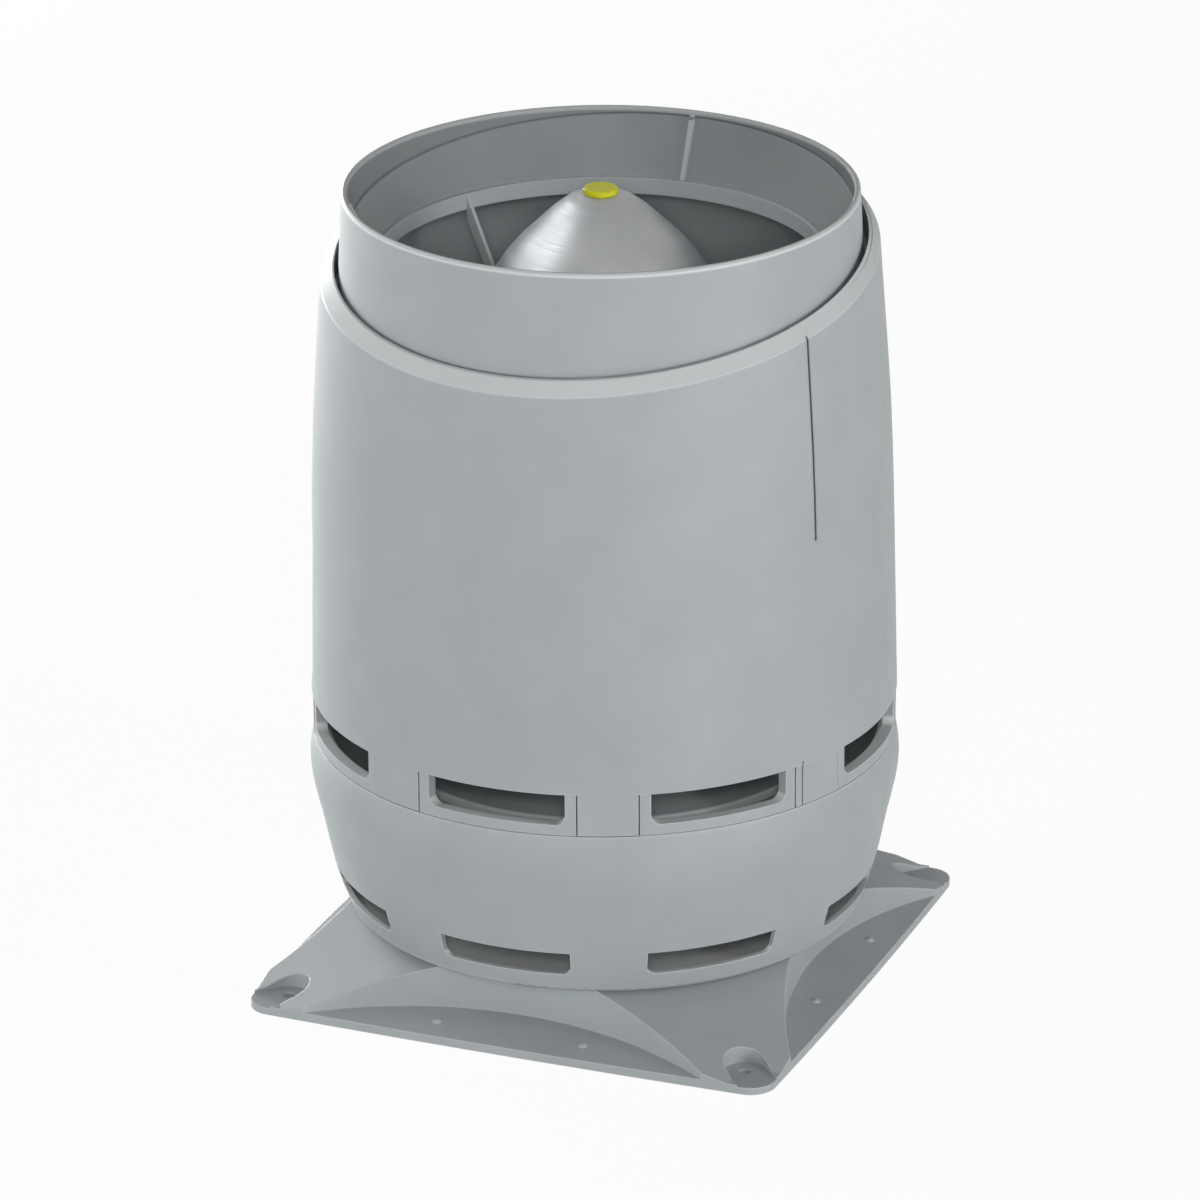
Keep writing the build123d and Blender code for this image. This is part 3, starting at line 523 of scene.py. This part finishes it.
    # Each screw leans outwards and is spun by chance about its own axis.
    outward = add(tree, "ShaderNodeVectorMath", add(tree, "ShaderNodeCombineXYZ", spot["X"], spot["Y"]),
                  operation="NORMALIZE")
    sideways = add(tree, "ShaderNodeMath", given["Lean"], operation="SINE")
    aside = add(tree, "ShaderNodeVectorMath", outward, sideways, operation="SCALE")
    upwards = add(tree, "ShaderNodeMath", given["Lean"], operation="COSINE")
    upright = add(tree, "ShaderNodeCombineXYZ", Z=upwards)
    axis = add(tree, "ShaderNodeVectorMath", aside, upright, operation="ADD")
    lean = add(tree, "FunctionNodeAlignRotationToVector", axis="Z", Vector=axis)
    chance = add(tree, "FunctionNodeRandomValue", 0.0, 2 * pi, data_type="FLOAT", Seed=given["Seed"])
    spin = add(tree, "FunctionNodeAxisAngleToRotation", Angle=chance)
    both = add(tree, "FunctionNodeRotateRotation", lean, spin, rotation_space="LOCAL")
    row = add(tree, "GeometryNodeInstanceOnPoints", seats, Instance=screw, Rotation=both)
    finish_tree(tree, row, given["Material"])
    return tree


screws = screw_tree()


def screw_row(name, node, count, ring, first, height, lean, head, head_height, shank, length, pitch, seed,
              tilt=0.0, taper=0.0):
    """One row of screws; sizes in mm, angles in degrees."""
    sizes = {"Count": count, "Ring Radius": ring * MM, "First Angle": radians(first),
             "Height": height * MM, "Tilt": tilt, "Taper": taper, "Lean": radians(lean),
             "Head Radius": head * MM, "Head Height": head_height * MM, "Shank Radius": shank * MM,
             "Length": length * MM, "Pitch": pitch * MM, "Seed": seed}
    make_piece(name, screws, sizes, steel, node)


screw_row("bowl_screw_row", "bowl_screws", count=4, ring=100.0, first=-45, height=39.5, lean=0,
          head=4.0, head_height=2.4, shank=2.0, length=15.0, pitch=1.5, seed=3)
screw_row("carrier_screw_row", "carrier_screws", count=3, ring=123.8, first=-30, height=398.0, lean=180,
          head=3.0, head_height=1.8, shank=1.5, length=4.3, pitch=1.0, seed=5)
screw_row("skirt_screw_row", "skirt_screws", count=4, ring=82.9, first=-67.5, height=169.0, lean=90,
          head=4.0, head_height=2.4, shank=2.0, length=5.6, pitch=1.2, seed=7)
# The collar screws follow the shoulder's slope, which is measured at the lip, and the collar's taper.
screw_row("collar_screw_row", "collar_screws", count=6, ring=COLLAR_SCREW_RING, first=-60,
          height=SHOULDER - 0.6 * LIP_DROP, lean=-90, head=3.2, head_height=1.8, shank=1.6, length=7.6,
          pitch=1.2, seed=9, tilt=SHOULDER_TILT * LIP_IN / COLLAR_SCREW_RING,
          taper=COLLAR_TAPER / (COLLAR_SCREW_RING * MM))


def turned_piece(name, tree_name, points, foot, height, segments, steps, material, node):
    """A closed outline, as radius and height above its foot in mm, turned round the vent's axis. Each
    stretch of the outline gets that many steps."""
    widest = max(r for r, z in points)
    share = 1 / (len(points) - 1)
    sizes = {"Radius": widest * MM, "Foot": foot * MM, "Height": height * MM, "Segments": segments,
             "Rows": steps * (len(points) - 1) + 1}
    tree, given = new_tree(tree_name, sizes)
    sheet, turn, along = sheet_to_wrap(tree, given["Segments"], given["Rows"])
    radius_share = follow(tree, along, [(i * share, r / widest) for i, (r, z) in enumerate(points)])
    height_share = follow(tree, along, [(i * share, z / height) for i, (r, z) in enumerate(points)])
    radius = add(tree, "ShaderNodeMath", radius_share, given["Radius"], operation="MULTIPLY")
    rise = add(tree, "ShaderNodeMath", height_share, given["Height"], operation="MULTIPLY")
    place = add(tree, "ShaderNodeMath", rise, given["Foot"], operation="ADD")
    finish_tree(tree, wrap(tree, sheet, turn, radius, place), given["Material"])
    make_piece(name, tree, sizes, material, node)


# The cone: a bell with a rounded rim, out along its top side and back along its underside.
BELL = ((CONE_TOP_R, CONE_HEIGHT), (17.8, 88.6), (26.4, 82.0), (35.0, 73.6), (43.4, 65.4), (51.4, 56.0),
        (58.4, 45.4), (64.6, 33.8), (70.2, 22.0), (75.2, 10.6))
BELL_RIM = ((CONE_RIM_R - 0.4, 1.1), (CONE_RIM_R, 0.5), (CONE_RIM_R - 0.5, 0.0), (CONE_RIM_R - 1.5, 0.0),
            (CONE_RIM_R - 2.0, 0.5), (CONE_RIM_R - 2.2, 1.1))
CROWN = 80.0  # above this height the bell is flatter, and its inner face is set off more downwards


def underside(r, z):
    """The bell's inner face below or beside a point of its outer face."""
    inwards, downwards = (0.7, 1.1) if z > CROWN else (0.95, 0.6)
    return r - CONE_SKIN * inwards, z - CONE_SKIN * downwards


bell_line = [(CONE_BORE_R, CONE_HEIGHT), *BELL, *BELL_RIM]
bell_line += [underside(r, z) for r, z in reversed(BELL[1:])]
bell_line += [(CONE_TOP_R, CONE_HEIGHT - CONE_SKIN), (CONE_BORE_R, CONE_HEIGHT - CONE_SKIN),
              (CONE_BORE_R, CONE_HEIGHT)]
turned_piece("spun_cone", "turned_bell", bell_line, CONE_FOOT, CONE_HEIGHT, 129, 4, silver, "rain_cone")

# The cap: rounded rim, a shallow dish on top and a recess underneath for the bolt's head.
CAP_LINE = ((0.0, CAP_HEIGHT - 0.5), (3.4, CAP_HEIGHT - 0.42), (6.2, CAP_HEIGHT - 0.16),
            (7.2, CAP_HEIGHT), (8.3, CAP_HEIGHT - 0.12), (9.0, CAP_HEIGHT - 0.6), (CAP_R, CAP_HEIGHT - 1.3),
            (CAP_R, 0.3), (9.0, 0.0), (BOLT_HEAD_R, 0.0), (BOLT_HEAD_R, BOLT_HEAD_H), (0.0, BOLT_HEAD_H))
turned_piece("snap_cap", "turned_cap", CAP_LINE, CAP_FOOT, CAP_HEIGHT, 65, 2, yellow, "cone_cap")

# The seal: a band in the socket, with a collar on top that slopes out to lie over the socket's edge.
SEAL_LINE = ((SEAL_IN, 0.0), (SEAL_IN, SEAL_HEIGHT), (SEAL_NOSE, SEAL_HEIGHT), (SEAL_OUT, LIP_EDGE_HIGH),
             (SEAL_OUT, LIP_EDGE_LOW), (SEAL_BAND, LIP_EDGE_LOW), (SEAL_BAND, 0.0), (SEAL_IN, 0.0))
turned_piece("socket_seal", "turned_seal", SEAL_LINE, SEAL_FOOT, SEAL_HEIGHT, 129, 1, rubber, "pipe_seal")


# Studio.
def studio_floor():
    """A pale floor that keeps the vent's shadow; seen directly or in metal it is near white."""
    mesh = bpy.data.meshes.new("floor")
    corners = [(-FLOOR_REACH, -FLOOR_REACH, FLOOR_HEIGHT), (FLOOR_REACH, -FLOOR_REACH, FLOOR_HEIGHT),
               (FLOOR_REACH, FLOOR_REACH, FLOOR_HEIGHT), (-FLOOR_REACH, FLOOR_REACH, FLOOR_HEIGHT)]
    mesh.from_pydata(corners, [], [(0, 1, 2, 3)])
    floor = bpy.data.objects.new("floor", mesh)
    bpy.context.collection.objects.link(floor)
    material, tree = new_material("painted_studio_floor")
    path = add(tree, "ShaderNodeLightPath").node.outputs
    seen = add(tree, "ShaderNodeMath", path["Is Camera Ray"], path["Is Glossy Ray"], operation="MAXIMUM")
    share = add(tree, "ShaderNodeMath", seen, 1.0 - FLOOR_SHADE, operation="MULTIPLY")
    lit = add(tree, "ShaderNodeBsdfDiffuse", FLOOR_WHITE)
    white = add(tree, "ShaderNodeEmission", WHITE, 1.0)
    add(tree, "ShaderNodeOutputMaterial", add(tree, "ShaderNodeMixShader", share, lit, white))
    mesh.materials.append(material)


def studio_world():
    """A white surround for the eye, a dimmer one for what mirrors it, and no light from it: the lamps
    give that."""
    world = bpy.data.worlds.new("studio")
    world.use_nodes = True
    tree = world.node_tree
    tree.nodes.clear()
    path = add(tree, "ShaderNodeLightPath").node.outputs
    direct = add(tree, "ShaderNodeMath", path["Is Camera Ray"], path["Is Transmission Ray"],
                 operation="MAXIMUM")
    glossy = add(tree, "ShaderNodeMath", path["Is Glossy Ray"], WORLD_GLOSS, operation="MULTIPLY")
    seen = add(tree, "ShaderNodeMath", direct, glossy, operation="MAXIMUM")
    dark = add(tree, "ShaderNodeBackground", WHITE, 0.0)
    white = add(tree, "ShaderNodeBackground", WHITE, 1.0)
    add(tree, "ShaderNodeOutputWorld", add(tree, "ShaderNodeMixShader", seen, dark, white))
    bpy.context.scene.world = world


def softbox(name, azimuth, elevation, distance, width, height, power):
    """Area lamp on a circle round the vent, aimed at its middle."""
    lamp = bpy.data.lights.new(name, "AREA")
    lamp.shape = "RECTANGLE"
    lamp.size = width
    lamp.size_y = height
    lamp.energy = power
    holder = bpy.data.objects.new(name, lamp)
    bpy.context.collection.objects.link(holder)
    a, e = radians(azimuth), radians(elevation)
    target = Vector((0, 0, LAMP_AIM))
    holder.location = target + distance * Vector((sin(a) * cos(e), -cos(a) * cos(e), sin(e)))
    holder.rotation_euler = (target - holder.location).to_track_quat("-Z", "Y").to_euler()


def camera():
    data = bpy.data.cameras.new("camera")
    data.sensor_width = 36.0
    data.lens = CAMERA_LENS
    data.shift_x = CAMERA_SHIFT
    data.clip_end = 50.0
    holder = bpy.data.objects.new("camera", data)
    bpy.context.collection.objects.link(holder)
    a = radians(CAMERA_AZIMUTH)
    turn = Matrix.Rotation(a, 4, "Z") @ Matrix.Rotation(radians(90 - CAMERA_PITCH), 4, "X")
    turn = turn @ Matrix.Rotation(radians(CAMERA_ROLL), 4, "Z")
    place = Vector((CAMERA_DISTANCE * sin(a), -CAMERA_DISTANCE * cos(a), CAMERA_HEIGHT))
    holder.matrix_world = Matrix.Translation(place) @ turn
    bpy.context.scene.camera = holder


# Each lamp: azimuth from the camera's, elevation, distance, width, height and power in W. The powers,
# apart from left_key's, go back to a fit to the photo's brightness and were then changed.
FLOOR_LAMP = (1, 3.0, 1.5, 0.45)
LAMPS = {
    "back_left_floor": (-150, *FLOOR_LAMP, 88.0),
    "beside_camera": (0, 24, 3.2, 0.5, 0.5, 21.0),
    "right_strip": (62, 12, 2.4, 0.35, 1.8, 22.0),
    "right_floor": (40, *FLOOR_LAMP, 16.5),
    "left_floor": (-40, *FLOOR_LAMP, 16.0),
    "far_left_floor": (-75, *FLOOR_LAMP, 14.0),
    "back_left_middle": (-135, 35, 3.0, 1.4, 1.2, 12.0),
    "outer_left_floor": (-110, *FLOOR_LAMP, 11.0),
    "left_key": (-98, 45, 3.0, 0.9, 0.9, 9.0),
    "front_middle": (0, 35, 3.0, 1.4, 1.2, 7.0),
    "outer_right_floor": (110, *FLOOR_LAMP, 4.0),
}

studio_floor()
studio_world()
for lamp_name, (lamp_azimuth, *lamp_rest) in LAMPS.items():
    softbox(lamp_name, CAMERA_AZIMUTH + lamp_azimuth, *lamp_rest)
camera()

bpy.context.scene.view_settings.view_transform = "Standard"
